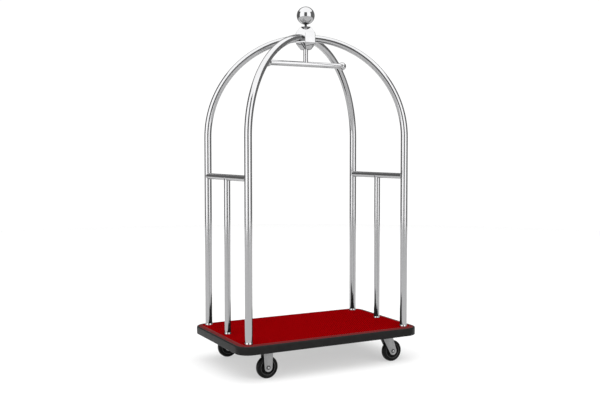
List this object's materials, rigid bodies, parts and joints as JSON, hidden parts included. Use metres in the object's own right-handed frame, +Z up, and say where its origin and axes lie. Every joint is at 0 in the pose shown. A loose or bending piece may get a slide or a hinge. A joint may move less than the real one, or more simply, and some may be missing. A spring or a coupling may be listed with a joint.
{
  "type": "hotel luggage cart",
  "caption": "Birdcage hotel luggage cart: carpeted deck with a rubber bumper, four bent tubes meeting in a finial hub over a garment bar, rigid and swivel casters.",
  "frame": {"origin": "on the floor under the middle of the deck", "axes": "+X along the deck towards the swivel casters, +Y across the deck to the back, +Z up"},
  "size_m": [1.05, 0.645, 1.8945],
  "materials": {
    "plywood": "raw birch plywood",
    "red_carpet": "ribbed pile carpet",
    "bumper_rubber": "satin extruded rubber",
    "frame_steel": "black powder coat",
    "zinc_steel": "bright zinc plate",
    "chrome_tube": "polished tube",
    "chrome_polish": "mirror polish",
    "caster_steel": "dull zinc plate",
    "bush_plastic": "nylon",
    "core_plastic": "moulded polypropylene",
    "tyre_rubber": "smooth rubber"
  },
  "bodies": {
    "root": {"deck_board": "plywood", "carpet": "red_carpet", "bumper": "bumper_rubber", "edge_band": "zinc_steel", "edge_screws": "zinc_steel", "end_rail_left": "frame_steel", "end_rail_right": "frame_steel", "long_rail_front": "frame_steel", "long_rail_back": "frame_steel", "cross_rails": "frame_steel", "deck_screws": "zinc_steel", "caster_pads": "frame_steel", "caster_bolts": "zinc_steel", "caster_nuts": "zinc_steel", "hoop_front_left": "chrome_tube", "hoop_front_right": "chrome_tube", "hoop_back_left": "chrome_tube", "hoop_back_right": "chrome_tube", "mid_post_left": "chrome_tube", "mid_post_right": "chrome_tube", "crossbar_left": "chrome_tube", "crossbar_right": "chrome_tube", "base_collars": "chrome_polish", "post_plugs": "zinc_steel", "post_bolts": "zinc_steel", "post_washers": "zinc_steel", "hub_body": "chrome_polish", "hub_top_cap": "chrome_polish", "hub_bottom_cap": "chrome_polish", "hub_set_screws": "zinc_steel", "tie_rod": "zinc_steel", "finial_neck": "chrome_polish", "finial_ball": "chrome_polish", "hanger_stem": "chrome_tube", "hanger_bar": "chrome_tube", "hanger_balls": "chrome_polish", "fork_front_left": "caster_steel", "axle_front_left": "zinc_steel", "fork_back_left": "caster_steel", "axle_back_left": "zinc_steel", "swivel_plates": "zinc_steel", "kingpins": "zinc_steel"},
    "wheel_front_left": {"bushes_front_left": "bush_plastic", "core_front_left": "core_plastic", "tyre_front_left": "tyre_rubber"},
    "swivel_front_right": {"fork_front_right": "caster_steel", "axle_front_right": "zinc_steel", "bearing_balls_front": "chrome_polish"},
    "wheel_front_right": {"bushes_front_right": "bush_plastic", "core_front_right": "core_plastic", "tyre_front_right": "tyre_rubber"},
    "wheel_back_left": {"bushes_back_left": "bush_plastic", "core_back_left": "core_plastic", "tyre_back_left": "tyre_rubber"},
    "swivel_back_right": {"fork_back_right": "caster_steel", "axle_back_right": "zinc_steel", "bearing_balls_back": "chrome_polish"},
    "wheel_back_right": {"bushes_back_right": "bush_plastic", "core_back_right": "core_plastic", "tyre_back_right": "tyre_rubber"}
  },
  "joints": [
    {"name": "wheel_front_left_roll", "type": "hinge", "parent": "root", "child": "wheel_front_left", "pos_m": [-0.352, -0.25, 0.0565], "axis": [0, 1, 0], "continuous": true},
    {"name": "swivel_front_right_turn", "type": "hinge", "parent": "root", "child": "swivel_front_right", "pos_m": [0.352, -0.25, 0.1385], "axis": [0, 0, 1], "continuous": true},
    {"name": "wheel_front_right_roll", "type": "hinge", "parent": "swivel_front_right", "child": "wheel_front_right", "pos_m": [0.388, -0.25, 0.0565], "axis": [0, 1, 0], "continuous": true},
    {"name": "wheel_back_left_roll", "type": "hinge", "parent": "root", "child": "wheel_back_left", "pos_m": [-0.352, 0.25, 0.0565], "axis": [0, 1, 0], "continuous": true},
    {"name": "swivel_back_right_turn", "type": "hinge", "parent": "root", "child": "swivel_back_right", "pos_m": [0.352, 0.25, 0.1385], "axis": [0, 0, 1], "continuous": true},
    {"name": "wheel_back_right_roll", "type": "hinge", "parent": "swivel_back_right", "child": "wheel_back_right", "pos_m": [0.388, 0.25, 0.0565], "axis": [0, 1, 0], "continuous": true}
  ]
}
